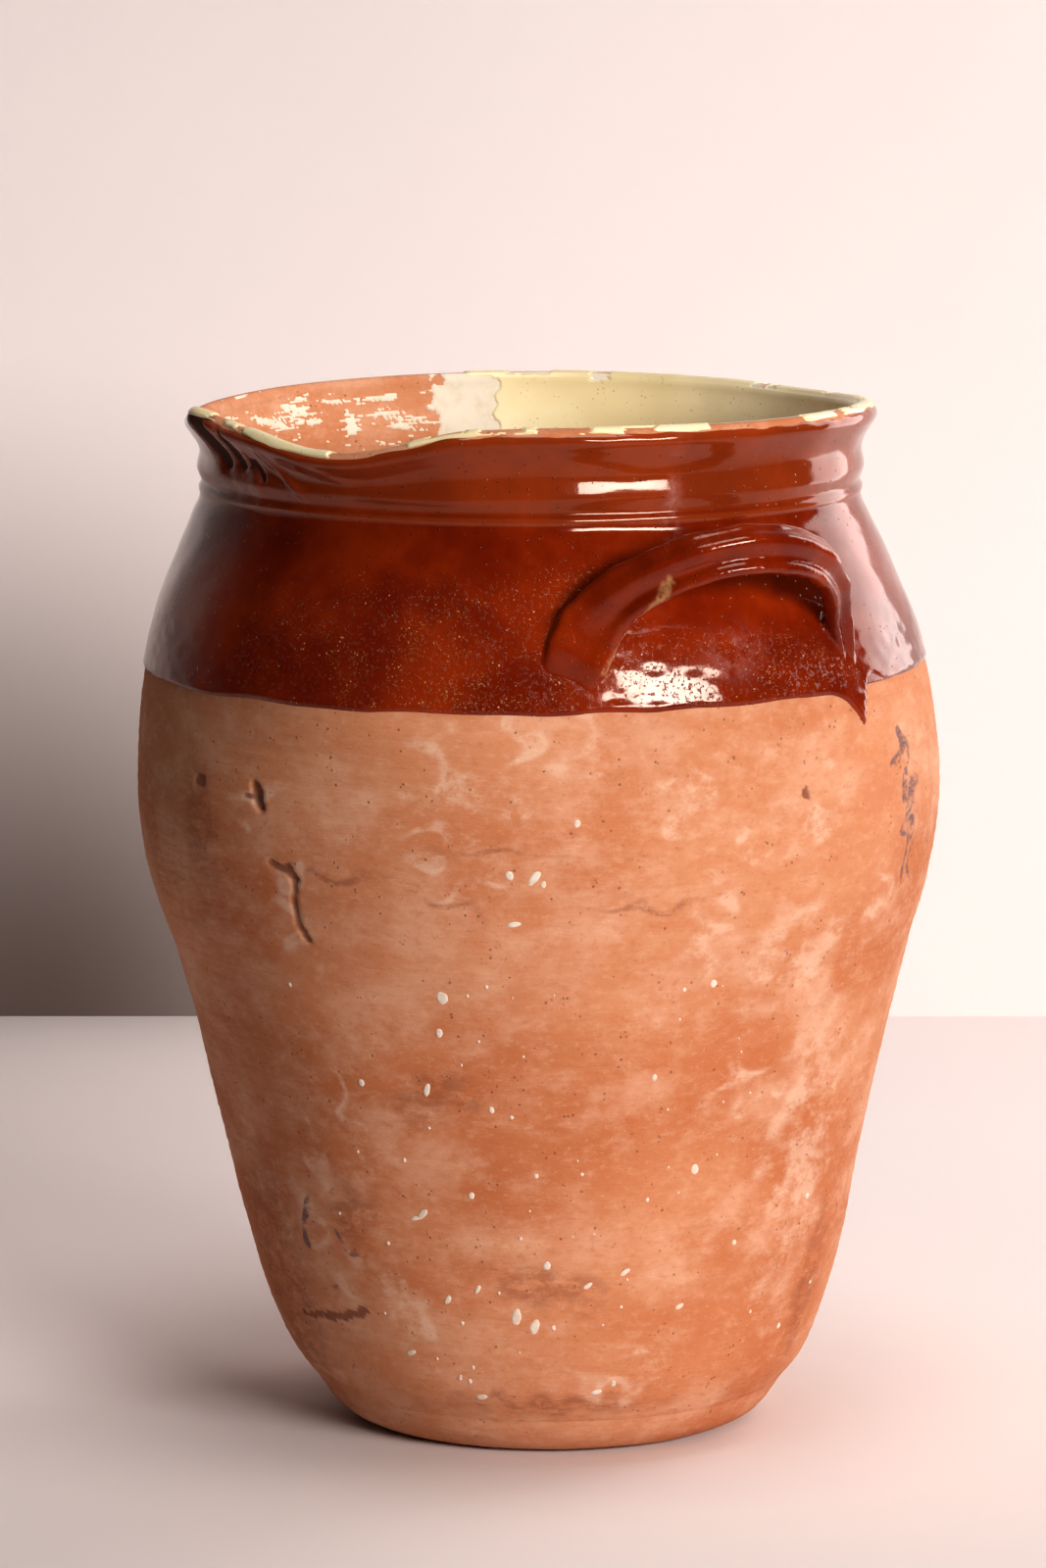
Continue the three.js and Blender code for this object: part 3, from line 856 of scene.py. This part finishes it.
handle_right = handle("strap_handle_right", 0.0, 61)
handle_left = handle("strap_handle_left", math.pi, 62)
WORN = [(-12.6, 350), (-14.2, 340), (-16.0, 331), (-18.2, 322), (-20.2, 315)]
for thing, turn in ((handle_right, 0.0), (handle_left, math.pi)):
    spots = np.empty(len(thing.data.vertices) * 3)
    thing.data.vertices.foreach_get("co", spots)
    spots = spots.reshape(-1, 3) / MM
    angle = np.arctan2(spots[:, 1], spots[:, 0]) - turn
    worn = scar(angle, spots[:, 2], WORN, 1.6)
    marks = np.stack([0.25 + 0 * worn, 0 * worn, 0 * worn, worn], axis=-1)
    layer = thing.data.attributes.new("marks", "FLOAT_COLOR", "POINT")
    layer.data.foreach_set("color", marks.astype(np.float32).ravel())
    print(thing.name, len(thing.data.polygons), "faces")

# %% [markdown]
# ## Splashes of old paint
# White drops of house paint have dried on the clay. Each is a low dome with a wandering outline.
# The big ones are listed one by one; the small ones are scattered at random near them.

# %% Dome the drops
BIG_DROPS = [
    (-45, 190, 2.6, 0), (-46, 176, 1.7, 0), (-49, 153, 2.0, 20), (-3, 193, 1.6, 0),
    (-12, 158, 1.3, 0), (-3, 119, 2.0, 0), (-38.5, 146, 1.3, 0), (-31.5, 120, 1.0, 0),
    (-36, 62.5, 2.7, 10), (-32.6, 58.5, 2.6, 14), (-29, 58, 1.0, 0), (-30, 83.5, 1.7, 0),
    (-43, 111, 1.4, 0), (-52.5, 102, 2.0, 40), (-15.5, 80, 1.6, 60), (-22.5, 75, 1.5, 60),
    (-43, 73.5, 1.4, 30), (-49, 68.5, 1.6, 30), (-59, 44, 1.7, 60), (-4, 64, 1.5, 60),
    (26, 99.5, 1.2, 0), (7, 87, 1.2, 0), (26, 46, 1.2, 0), (-16.5, 33.5, 1.3, 0),
    (-24.6, 259, 1.5, 0), (-34, 239.5, 1.8, 0), (-30.6, 238.5, 2.4, 35), (-29.4, 236, 1.3, 0),
    (-33.6, 220.5, 1.8, 80), (-20, 30, 1.6, 70), (-45, 27, 1.8, 80), (-54, 100, 1.4, 80),
]
SMALL_DROPS = 46
BACK_DROPS = 14
DROP_RINGS = 5
DROP_SIDES = 32
DOME = 0.22


def drop_points(dice, degrees, height, radius, tilt):
    """The points of one dome, ring by ring, laid on the wall."""
    turn = np.linspace(0, 2 * math.pi, DROP_SIDES, endpoint=False)
    outline_waves = 1 + 0.06 * np.sin(2 * turn + dice.uniform(0, 6)) \
        + 0.04 * np.sin(3 * turn + dice.uniform(0, 6)) + 0.02 * np.sin(5 * turn + dice.uniform(0, 6))
    stretch = 1.25 + (0.9 if tilt else 0.0)
    share = np.linspace(0.02, 1, DROP_RINGS)[:, None]
    along = share * radius * outline_waves * np.cos(turn) / math.sqrt(stretch)
    aside = share * radius * outline_waves * np.sin(turn) * math.sqrt(stretch)
    lean = math.radians(tilt)
    sideways = along * math.cos(lean) + aside * math.sin(lean)
    upward = aside * math.cos(lean) - along * math.sin(lean)
    place = outside_at(height + upward)
    angle = math.radians(degrees) + sideways / np.interp(place, path, path_radius)
    dome = DOME * np.sqrt(np.clip(1 - share**2, 0, 1)) + 0.12 - 0.3 * (share > 0.99)
    return surface(angle, place, dome * np.ones_like(sideways)).reshape(-1, 3)


def paint_drops():
    """All drops as one piece."""
    dice = np.random.default_rng(71)
    drops = list(BIG_DROPS)
    for _ in range(SMALL_DROPS):
        spot = (dice.normal(-25, 26), dice.uniform(32, 200), dice.uniform(0.35, 0.9), 0)
        drops.append(spot)
    for _ in range(BACK_DROPS):
        drops.append((dice.uniform(60, 300), dice.uniform(40, 230), dice.uniform(0.4, 1.6), 0))
    points, faces = [], []
    net = net_faces(DROP_RINGS, DROP_SIDES, False, True)
    for number, drop in enumerate(drops):
        points.append(drop_points(dice, *drop))
        faces.append(net + number * DROP_RINGS * DROP_SIDES)
    thing = write_mesh("paint_drops", np.concatenate(points), np.concatenate(faces))

    def close_tops(edit):
        edit.verts.ensure_lookup_table()
        for number in range(len(drops)):
            start = number * DROP_RINGS * DROP_SIDES
            edit.faces.new([edit.verts[start + step] for step in range(DROP_SIDES)])

    edited(thing, close_tops)
    thing.data.shade_smooth()
    return thing


drops = paint_drops()
print("the drops have", len(drops.data.polygons), "faces")

# %% [markdown]
# ## Finishes
# A finish is a small graph of nodes. These helpers keep each one short: one adds a node, one adds
# grain, one mixes two colours by a mask. Everything is placed by the object's own coordinates, so
# the grain is fixed to the pot.

# %% Helpers for finishes
class Finish:
    """A material under construction."""

    def __init__(self, name):
        self.material = bpy.data.materials.new(name)
        self.material.use_nodes = True
        self.tree = self.material.node_tree
        self.shader = self.tree.nodes["Principled BSDF"]
        self.place = self.add("ShaderNodeTexCoord").outputs["Object"]

    def add(self, kind, **values):
        node = self.tree.nodes.new(kind)
        for key, value in values.items():
            if hasattr(node, key):
                setattr(node, key, value)
            else:
                node.inputs[key].default_value = value
        return node

    def link(self, source, target):
        self.tree.links.new(source, target)

    def squeezed(self, flatten):
        """Coordinates that make grain long round the pot and short up it."""
        node = self.add("ShaderNodeVectorMath", operation="MULTIPLY")
        self.link(self.place, node.inputs[0])
        node.inputs[1].default_value = (1, 1, flatten)
        return node.outputs[0]

    def noise(self, scale, detail=4.0, roughness=0.55, flatten=1.0):
        node = self.add("ShaderNodeTexNoise")
        node.inputs["Scale"].default_value = scale
        node.inputs["Detail"].default_value = detail
        node.inputs["Roughness"].default_value = roughness
        self.link(self.squeezed(flatten) if flatten != 1.0 else self.place, node.inputs["Vector"])
        return node.outputs["Fac"]

    def window(self, value, low, high):
        """A smooth step of a value."""
        node = self.add("ShaderNodeMapRange", interpolation_type="SMOOTHSTEP")
        node.inputs["From Min"].default_value = low
        node.inputs["From Max"].default_value = high
        self.link(value, node.inputs["Value"])
        return node.outputs["Result"]

    def dots(self, scale, low, high):
        """Scattered dots: 1 at each middle, 0 beyond it."""
        node = self.add("ShaderNodeTexVoronoi")
        node.inputs["Scale"].default_value = scale
        self.link(self.place, node.inputs["Vector"])
        return self.math("SUBTRACT", 1.0, self.window(node.outputs["Distance"], low, high))

    def math(self, operation, first, second):
        node = self.add("ShaderNodeMath", operation=operation)
        for socket, value in zip(node.inputs, (first, second)):
            if isinstance(value, (int, float)):
                socket.default_value = value
            else:
                self.link(value, socket)
        return node.outputs[0]

    def mix(self, mask, first, second):
        """The first colour where the mask is 0, the second where it is 1."""
        node = self.add("ShaderNodeMix", data_type="RGBA")
        colours = [socket for socket in node.inputs if socket.type == "RGBA"]
        self.link(mask, node.inputs[0])
        for socket, value in zip(colours, (first, second)):
            if isinstance(value, tuple):
                socket.default_value = (*value, 1)
            else:
                self.link(value, socket)
        return [socket for socket in node.outputs if socket.type == "RGBA"][0]

    def both(self, first, second):
        """The product of two masks, or of a mask and a strength."""
        return self.math("MULTIPLY", first, second)

    def over(self, tone, mask, strength, colour):
        """A tone with a colour laid over it where the mask is."""
        return self.mix(self.both(mask, strength), tone, colour)

    def marks(self):
        """The four painted masks of the mesh."""
        layer = self.add("ShaderNodeAttribute", attribute_name="marks")
        split = self.add("ShaderNodeSeparateColor")
        self.link(layer.outputs["Color"], split.inputs[0])
        return [*split.outputs, layer.outputs["Alpha"]]

    def bump(self, height, distance, strength=1.0, under=None):
        node = self.add("ShaderNodeBump")
        node.inputs["Distance"].default_value = distance
        node.inputs["Strength"].default_value = strength
        self.link(height, node.inputs["Height"])
        if under is not None:
            self.link(under, node.inputs["Normal"])
        return node.outputs["Normal"]

    def set(self, socket, value):
        target = self.shader.inputs[socket]
        if isinstance(value, (int, float)):
            target.default_value = value
        elif isinstance(value, tuple):
            target.default_value = (*value, 1)
        else:
            self.link(value, target)


# %% [markdown]
# ## Bare fired clay
# Old unglazed earthenware is matt and warm, streaked level by the wheel, mottled by the kiln, with
# dark iron specks and tiny pits. Large soft noise gives the mottle, squeezed noise the streaks,
# fine noise the grain and scattered dots the specks. The painted masks bring in lime, brown and
# purple stains, and the raw dark of scars and chips.

# %% Mix the clay finish
def clay_finish(name, deep, middle, light):
    clay = Finish(name)
    pale, brown, purple, scarred = clay.marks()
    mottle = clay.noise(8.0, 3.0, 0.5, 1.4)
    blotch = clay.noise(24.0, 6.0, 0.65, 1.5)
    streak = clay.noise(6.0, 5.0, 0.55, 7.0)
    fine = clay.noise(70.0, 6.0, 0.7, 1.8)
    grain = clay.noise(210.0, 5.0, 0.75, 1.5)
    torn = clay.window(clay.noise(48.0, 7.0, 0.72, 1.4), 0.40, 0.58)
    broken = clay.window(clay.noise(110.0, 6.0, 0.75, 2.0), 0.36, 0.60)
    tone = clay.mix(clay.window(mottle, 0.36, 0.62), deep, middle)
    tone = clay.over(tone, clay.window(blotch, 0.42, 0.68), 0.65, light)
    tone = clay.over(tone, clay.window(streak, 0.5, 0.7), 0.4, deep)
    tone = clay.over(tone, clay.window(fine, 0.48, 0.74), 0.3, (0.80, 0.52, 0.37))
    tone = clay.over(tone, clay.window(grain, 0.52, 0.68), 0.35, light)
    tone = clay.over(tone, clay.window(grain, 0.46, 0.34), 0.4, deep)
    wash = clay.both(clay.window(pale, 0.1, 0.8), torn)
    tone = clay.over(tone, wash, 0.45, (0.82, 0.60, 0.46))
    stained = clay.both(clay.window(brown, 0.2, 0.9), broken)
    tone = clay.over(tone, stained, 0.5, (0.26, 0.075, 0.035))
    bruise = clay.both(clay.window(purple, 0.22, 0.5), broken)
    tone = clay.over(tone, bruise, 0.92, (0.20, 0.105, 0.105))
    tone = clay.over(tone, clay.window(scarred, 0.05, 0.6), 0.75, (0.20, 0.055, 0.03))
    tone = clay.mix(clay.window(scarred, 0.62, 0.9), tone, (0.075, 0.022, 0.013))
    speck = clay.both(clay.dots(420.0, 0.12, 0.3), clay.window(clay.noise(160.0, 2.0), 0.58, 0.66))
    clay.set("Base Color", clay.over(tone, speck, 0.6, (0.16, 0.05, 0.03)))
    clay.set("Roughness", 0.82)
    clay.set("Specular IOR Level", 0.22)
    relief = clay.bump(clay.noise(900.0, 4.0, 0.7), 0.00025, 0.5)
    relief = clay.bump(clay.noise(120.0, 5.0, 0.6, 6.0), 0.0006, 0.5, relief)
    clay.set("Normal", clay.bump(speck, 0.0004, 0.6, relief))
    return clay.material


CLAY_TONES = [(0.52, 0.175, 0.07), (0.61, 0.26, 0.13), (0.71, 0.395, 0.255)]
bare_clay = clay_finish("fired_clay", *CLAY_TONES)
print("mixed", bare_clay.name)

# %% [markdown]
# ## Red-brown lead glaze
# The glaze is a clear, glossy, iron-red skin. It is darker where it is thick and warmer where it
# is thin over an edge, and it holds gold specks of undissolved iron. The gloss comes from a low
# roughness and very little bump; only where the specks are thick is the glaze pitted, which
# breaks the reflections up there.

# %% Mix the outer glaze finish
def glaze_finish():
    glaze = Finish("red_brown_glaze")
    gold, thin, haze, worn = glaze.marks()
    cloud = glaze.window(glaze.noise(26.0, 5.0, 0.6), 0.34, 0.68)
    tone = glaze.mix(cloud, (0.15, 0.0095, 0.001), (0.27, 0.026, 0.002))
    tone = glaze.mix(thin, tone, (0.36, 0.075, 0.015))
    rare = glaze.window(glaze.noise(210.0, 4.0, 0.7), 0.54, 0.62)
    spot = glaze.both(glaze.both(glaze.dots(560.0, 0.06, 0.26), rare), glaze.window(gold, 0.1, 0.7))
    dust = glaze.window(glaze.noise(1300.0, 2.0, 0.6), 0.60, 0.68)
    drift = glaze.window(glaze.noise(55.0, 5.0, 0.7), 0.46, 0.66)
    dust = glaze.both(glaze.both(dust, drift), glaze.window(gold, 0.15, 0.9))
    tone = glaze.over(tone, dust, 0.75, (0.62, 0.30, 0.08))
    tone = glaze.over(tone, spot, 0.85, (0.76, 0.47, 0.20))
    rubbed = glaze.both(worn, glaze.window(glaze.noise(260.0, 5.0, 0.7), 0.34, 0.56))
    tone = glaze.over(tone, rubbed, 0.65, (0.52, 0.29, 0.12))
    pin = glaze.dots(300.0, 0.05, 0.14)
    tone = glaze.over(tone, pin, 0.7, (0.03, 0.004, 0.002))
    fog = glaze.both(haze, glaze.window(glaze.noise(90.0, 5.0, 0.7), 0.42, 0.66))
    glaze.set("Base Color", glaze.over(tone, fog, 0.4, (0.52, 0.27, 0.24)))
    glaze.set("Roughness", 0.09)
    glaze.set("IOR", 1.47)
    glaze.set("Specular Tint", (1.0, 0.88, 0.76))
    pitted = glaze.window(glaze.noise(620.0, 4.0, 0.7), 0.56, 0.66)
    pitted = glaze.both(pitted, glaze.window(gold, 0.1, 0.8))
    relief = glaze.bump(glaze.noise(130.0, 3.0, 0.5), 0.0002, 0.35)
    relief = glaze.bump(pitted, 0.0003, 0.55, relief)
    relief = glaze.bump(pin, 0.0003, 0.6, relief)
    glaze.set("Normal", glaze.bump(spot, 0.0002, 0.5, relief))
    return glaze.material


red_glaze = glaze_finish()
print("mixed", red_glaze.name)

# %% [markdown]
# ## Cream glaze, white slip and dried paint
# The cream glaze is semi-glossy, straw-coloured and freckled. The slip is dry and chalky. Old
# paint is dull, with dirt in it.

# %% Mix the inner finishes
def cream_finish():
    cream = Finish("cream_glaze")
    cloud = cream.window(cream.noise(18.0, 4.0, 0.6), 0.35, 0.7)
    tone = cream.mix(cloud, (0.84, 0.69, 0.40), (0.90, 0.79, 0.52))
    spot = cream.both(cream.dots(520.0, 0.1, 0.3), cream.window(cream.noise(190.0, 2.0), 0.5, 0.6))
    cream.set("Base Color", cream.over(tone, spot, 0.45, (0.33, 0.22, 0.09)))
    cream.set("Roughness", 0.24)
    cream.set("IOR", 1.5)
    cream.set("Normal", cream.bump(cream.noise(220.0, 3.0), 0.0003, 0.3))
    return cream.material


def dry_finish(name, main, dirt, roughness):
    dry = Finish(name)
    cloud = dry.window(dry.noise(140.0, 5.0, 0.65), 0.4, 0.75)
    dry.set("Base Color", dry.mix(cloud, main, dirt))
    dry.set("Roughness", roughness)
    dry.set("Specular IOR Level", 0.2)
    dry.set("Normal", dry.bump(dry.noise(500.0, 4.0, 0.7), 0.0002, 0.5))
    return dry.material


cream_glaze = cream_finish()
white_slip = dry_finish("white_slip", (0.80, 0.71, 0.58), (0.72, 0.60, 0.46), 0.9)
old_paint = dry_finish("old_paint", (0.78, 0.68, 0.58), (0.68, 0.50, 0.38), 0.6)
print("mixed", cream_glaze.name, white_slip.name, old_paint.name)

# %% [markdown]
# ## Putting the pieces in place
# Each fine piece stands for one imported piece, which stays hidden behind it for weight and contact.
# Nothing on a fired pot moves, so everything rides on the one body, the root.

# %% Dress the pieces
PIECES = [
    (base_disc, "base_disc", "clay", bare_clay),
    (lower_wall, "lower_wall", "clay", bare_clay),
    (upper_wall, "upper_wall", "clay", bare_clay),
    (neck_collar, "neck_collar", "clay", bare_clay),
    (handle_right, "handle_right", "red_glaze", red_glaze),
    (handle_left, "handle_left", "red_glaze", red_glaze),
    (red_coat, "outer_glaze", "red_glaze", red_glaze),
    (slip_coat, "inner_slip", "white_slip", white_slip),
    (cream_coat, "inner_glaze", "cream_glaze", cream_glaze),
    (drops, None, "white_slip", old_paint),
]
for piece, node, slot, finish in PIECES:
    piece.data.materials.clear()
    piece.data.materials.append(finish)
    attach(piece, "root")
    if node:
        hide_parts(node)
print(len(PIECES), "pieces ride on the root")

# %% [markdown]
# ## Studio
# The pot stands on a pale table in front of a pale wall. A painted shadow darkens the wall low on
# the left, where the pot's shadow from the light on the right falls. One soft window-like light
# from the right does most of the work; its mirror image on the glaze is the white highlight. The
# room gives almost no light, which keeps the red of the glaze deep, but a camera that looks past
# the table sees a plain grey backdrop.

# %% Build the table and the wall
WALL_DISTANCE = 0.84
WALL_HALF_WIDTH = 4.0
WALL_HALF_HEIGHT = 1.52
WALL_MIDDLE = 1.5
TABLE_HALF = 1.3
UNDER_FOOT = -0.0002
# Painted shadow on the wall: how far left of the pot its middle lies, how far it reaches, and its dark
# tone.
PAINTED_SHADOW_ASIDE = 0.25
PAINTED_SHADOW_REACH = 0.36
PAINTED_SHADOW_TONE = (0.17, 0.125, 0.11)
view_back = Vector((-math.cos(VIEW_ANGLE), -math.sin(VIEW_ANGLE), 0))


def stage_plane(name, middle, along, up, half_along, half_up):
    """A flat stage piece with its front side towards along x up."""
    corners = [(-1, -1), (1, -1), (1, 1), (-1, 1)]
    mesh = bpy.data.meshes.new(name)
    places = [middle + along * (half_along * a) + up * (half_up * b) for a, b in corners]
    mesh.from_pydata([tuple(place) for place in places], [], [(0, 1, 2, 3)])
    thing = bpy.data.objects.new(name, mesh)
    bpy.context.scene.collection.objects.link(thing)
    return thing


def stage_finish(name, colour, painted_shadow_and_see_through):
    stage = Finish(name)
    cloud = stage.noise(3.0, 3.0)
    shade = stage.mix(cloud, colour, tuple(0.95 * part for part in colour))
    # On the wall only: a painted shadow, the colour darkening towards a point low on the left where the
    # pot's shadow falls.
    if painted_shadow_and_see_through:
        far = stage.add("ShaderNodeVectorMath", operation="DISTANCE")
        stage.link(stage.place, far.inputs[0])
        far.inputs[1].default_value = tuple(painted_shadow_middle)
        clear_of_painted_shadow = stage.window(far.outputs["Value"], 0.0, PAINTED_SHADOW_REACH)
        shade = stage.mix(clear_of_painted_shadow, PAINTED_SHADOW_TONE, shade)
    stage.set("Base Color", shade)
    stage.set("Roughness", 0.9)
    stage.set("Specular IOR Level", 0.1)
    if painted_shadow_and_see_through:
        side = stage.add("ShaderNodeNewGeometry").outputs["Backfacing"]
        clear = stage.add("ShaderNodeBsdfTransparent")
        blend = stage.add("ShaderNodeMixShader")
        stage.link(side, blend.inputs[0])
        stage.link(stage.shader.outputs[0], blend.inputs[1])
        stage.link(clear.outputs[0], blend.inputs[2])
        out = stage.tree.nodes["Material Output"]
        stage.link(blend.outputs[0], out.inputs["Surface"])
    return stage.material


side_way = Vector((view_right[0], view_right[1], 0))
# The middle of the painted shadow, at the foot of the wall to the left of the pot.
painted_shadow_middle = view_back * WALL_DISTANCE - side_way * PAINTED_SHADOW_ASIDE
floor = stage_plane("table", Vector((0, 0, UNDER_FOOT)), Vector((1, 0, 0)), Vector((0, 1, 0)),
                    TABLE_HALF, TABLE_HALF)
floor.data.materials.append(stage_finish("table_paint", (0.86, 0.78, 0.76), False))
wall_middle = view_back * WALL_DISTANCE + Vector((0, 0, WALL_MIDDLE))
wall = stage_plane("wall", wall_middle, side_way, Vector((0, 0, 1)),
                   WALL_HALF_WIDTH, WALL_HALF_HEIGHT)
wall.data.materials.append(stage_finish("wall_paint", (0.98, 0.90, 0.875), True))
print("the wall stands", WALL_DISTANCE, "m behind the pot")

# %% Hang the lights
def area_light(name, degrees, distance, height, size, power, colour, aim, spread=180):
    """A soft rectangular light, placed by its angle to the right of the camera."""
    lamp = bpy.data.lights.new(name, "AREA")
    lamp.shape = "RECTANGLE"
    lamp.size, lamp.size_y = size
    lamp.energy = power
    lamp.color = colour
    lamp.spread = math.radians(spread)
    thing = bpy.data.objects.new(name, lamp)
    angle = VIEW_ANGLE + math.radians(degrees)
    thing.location = (distance * math.cos(angle), distance * math.sin(angle), height)
    thing.rotation_euler = (Vector(aim) - thing.location).to_track_quat("-Z", "Y").to_euler()
    bpy.context.scene.collection.objects.link(thing)


area_light("key", 33, 2.2, 0.84, (1.2, 0.5), 9.4, (1.0, 0.975, 0.95), (0, 0, 0.24), 70)
area_light("top", 30, 0.35, 2.2, (0.9, 0.9), 5.2, (1.0, 0.96, 0.94), (-0.05, 0.03, 0.2), 100)
area_light("side", 124, 1.1, 0.6, (0.55, 1.3), 8.6, (1.0, 0.97, 0.96), (0, 0, 0.3))

ROOM_LIGHT = 0.012
BACKDROP = 0.7
world = bpy.data.worlds.new("room")
bpy.context.scene.world = world
world.use_nodes = True
background = world.node_tree.nodes["Background"]
background.inputs["Color"].default_value = (1.0, 0.94, 0.92, 1)
by_camera = world.node_tree.nodes.new("ShaderNodeLightPath").outputs["Is Camera Ray"]
strength = world.node_tree.nodes.new("ShaderNodeMapRange")
strength.inputs["To Min"].default_value = ROOM_LIGHT
strength.inputs["To Max"].default_value = BACKDROP
world.node_tree.links.new(by_camera, strength.inputs["Value"])
world.node_tree.links.new(strength.outputs["Result"], background.inputs["Strength"])
print("three soft lights and a dim room")

# %% Set the camera
LENS = 165.8
POT_HEIGHTS_UP = 1.706
POT_HEIGHTS_BACK = 7.0
camera_height = POT_HEIGHTS_UP * rim_height * MM
camera_back = POT_HEIGHTS_BACK * rim_height * MM
CAMERA_ASIDE = -0.005
CAMERA_DOWN = math.radians(8.78)
camera_data = bpy.data.cameras.new("camera")
camera_data.sensor_width = 36
camera_data.lens = LENS
camera = bpy.data.objects.new("camera", camera_data)
place = -view_back * camera_back + side_way * CAMERA_ASIDE
camera.location = (place.x, place.y, camera_height)
look = view_back * math.cos(CAMERA_DOWN) - Vector((0, 0, math.sin(CAMERA_DOWN)))
camera.rotation_euler = look.to_track_quat("-Z", "Y").to_euler()
bpy.context.scene.collection.objects.link(camera)
bpy.context.scene.camera = camera
bpy.context.scene.view_settings.view_transform = "Standard"
bpy.context.scene.view_settings.gamma = 0.86
print("the camera is", round(camera.location.length, 2), "m away")
